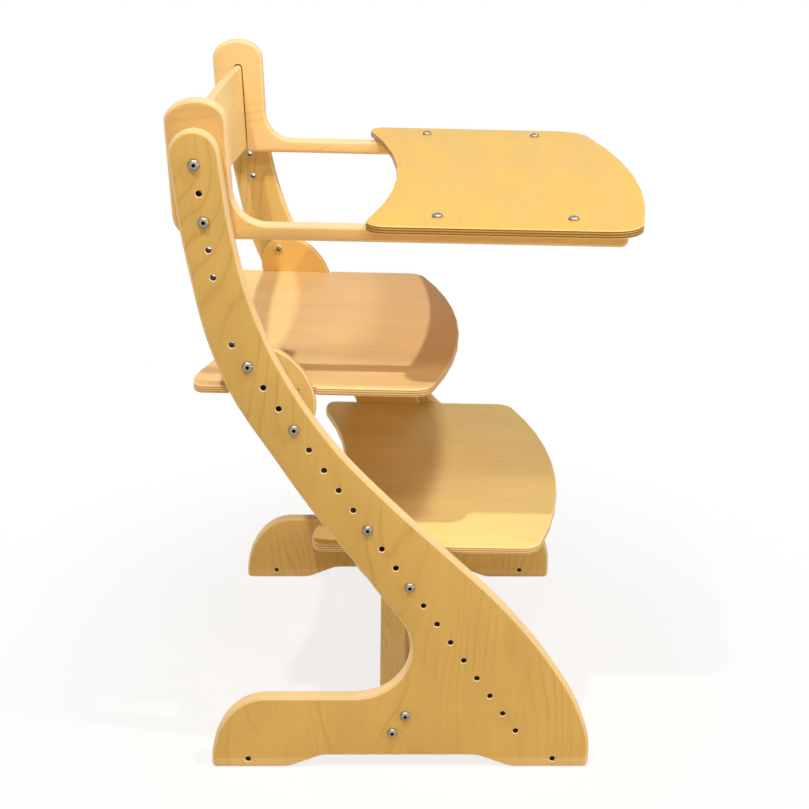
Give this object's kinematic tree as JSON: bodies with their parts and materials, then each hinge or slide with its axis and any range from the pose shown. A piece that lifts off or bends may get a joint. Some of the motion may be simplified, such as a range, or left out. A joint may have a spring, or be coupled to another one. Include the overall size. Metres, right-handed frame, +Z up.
{
  "type": "wooden high chair",
  "caption": "Plywood high chair with S-shaped side panels, bolted height-adjustable seat and footrest, a bent backrest between L-shaped arms, and a tray.",
  "frame": {"origin": "on the floor, under the middle of the overall box", "axes": "+Z up, +X to the front of the chair, +Y to the sitter's left"},
  "size_m": [0.5353, 0.53, 0.8195],
  "materials": {
    "birch_panel": "clear-lacquered 18 mm birch plywood, satin, edges rounded over",
    "birch_plate": "clear-lacquered 10 mm birch plywood, satin, plies showing at the edge",
    "zinc_steel": "zinc-plated machine screws and nuts"
  },
  "bodies": {
    "frame": {"side_panel_right": "birch_panel", "side_panel_left": "birch_panel", "tray_arm_right": "birch_panel", "tray_arm_left": "birch_panel", "backrest": "birch_plate", "tray": "birch_plate", "stretcher": "birch_panel", "arm_bolt_right_upper": "zinc_steel", "arm_bolt_right_lower": "zinc_steel", "arm_bolt_left_upper": "zinc_steel", "arm_bolt_left_lower": "zinc_steel", "arm_insert_right_upper": "zinc_steel", "arm_insert_right_lower": "zinc_steel", "arm_insert_left_upper": "zinc_steel", "arm_insert_left_lower": "zinc_steel", "tray_bolt_right_rear": "zinc_steel", "tray_bolt_right_front": "zinc_steel", "tray_bolt_left_rear": "zinc_steel", "tray_bolt_left_front": "zinc_steel", "tray_insert_right_rear": "zinc_steel", "tray_insert_right_front": "zinc_steel", "tray_insert_left_rear": "zinc_steel", "tray_insert_left_front": "zinc_steel", "stretcher_bolt_right_upper": "zinc_steel", "stretcher_bolt_right_lower": "zinc_steel", "stretcher_bolt_left_upper": "zinc_steel", "stretcher_bolt_left_lower": "zinc_steel", "stretcher_barrel_nut_right_upper": "zinc_steel", "stretcher_barrel_nut_right_lower": "zinc_steel", "stretcher_barrel_nut_left_upper": "zinc_steel", "stretcher_barrel_nut_left_lower": "zinc_steel"},
    "seat": {"seat": "birch_plate", "seat_bracket_right": "birch_plate", "seat_bracket_left": "birch_plate", "seat_bolt_right_upper": "zinc_steel", "seat_bolt_right_lower": "zinc_steel", "seat_bolt_left_upper": "zinc_steel", "seat_bolt_left_lower": "zinc_steel", "seat_nut_right_upper": "zinc_steel", "seat_nut_right_lower": "zinc_steel", "seat_nut_left_upper": "zinc_steel", "seat_nut_left_lower": "zinc_steel"},
    "footrest": {"footrest": "birch_plate", "footrest_bracket_right": "birch_plate", "footrest_bracket_left": "birch_plate", "footrest_bolt_right_upper": "zinc_steel", "footrest_bolt_right_lower": "zinc_steel", "footrest_bolt_left_upper": "zinc_steel", "footrest_bolt_left_lower": "zinc_steel", "footrest_nut_right_upper": "zinc_steel", "footrest_nut_right_lower": "zinc_steel", "footrest_nut_left_upper": "zinc_steel", "footrest_nut_left_lower": "zinc_steel"}
  },
  "joints": [
    {"name": "seat_height", "type": "slide", "parent": "frame", "child": "seat", "axis": [-0.5476, 0, 0.8368], "range_m": [-0.15, 0.03]},
    {"name": "footrest_height", "type": "slide", "parent": "seat", "child": "footrest", "axis": [-0.5476, 0, 0.8368], "range_m": [-0.09, 0.09]}
  ]
}
